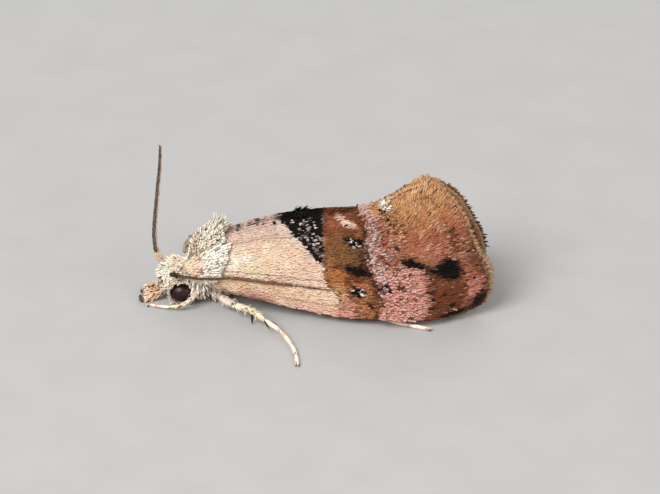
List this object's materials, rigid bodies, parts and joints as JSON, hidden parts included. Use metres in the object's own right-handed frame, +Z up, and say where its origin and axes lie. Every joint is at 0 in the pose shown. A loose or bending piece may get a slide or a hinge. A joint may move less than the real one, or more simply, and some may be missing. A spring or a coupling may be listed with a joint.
{
  "type": "resting leaf-roller moth model",
  "caption": "Small roof-winged moth at rest, cream shoulders, black patch and rusty pink rear, for still display.",
  "frame": {"origin": "on the floor under the middle of the moth's box", "axes": "+X towards the tail, -X towards the head, -Y towards the moth's left side, +Z up"},
  "size_m": [0.0064, 0.0053, 0.0028],
  "materials": {
    "body_scales": "matt cream scales flecked grey and brown",
    "abdomen_scales": "smooth greyish tan scales",
    "wing_scales": "matt overlapping scales, cream at the base, black patch, rust and pink behind",
    "hindwing_scales": "thin grey-brown scales with a slight sheen",
    "eye_lens": "glossy maroon-black facets",
    "palp_scales": "rough brown scales",
    "antenna": "fine dark brown rings",
    "leg_scales": "cream scales banded grey-brown"
  },
  "bodies": {
    "root": {"abdomen": "abdomen_scales", "antenna_left": "antenna", "antenna_right": "antenna", "eye_left": "eye_lens", "eye_right": "eye_lens", "forewing_left": "wing_scales", "forewing_right": "wing_scales", "head": "body_scales", "hindwing_left": "hindwing_scales", "hindwing_right": "hindwing_scales", "leg_fore_left": "leg_scales", "leg_fore_right": "leg_scales", "leg_hind_left": "leg_scales", "leg_hind_right": "leg_scales", "leg_mid_left": "leg_scales", "leg_mid_right": "leg_scales", "palp_left": "palp_scales", "palp_right": "palp_scales", "tegula_left": "body_scales", "tegula_right": "body_scales", "thorax": "body_scales"}
  },
  "joints": []
}
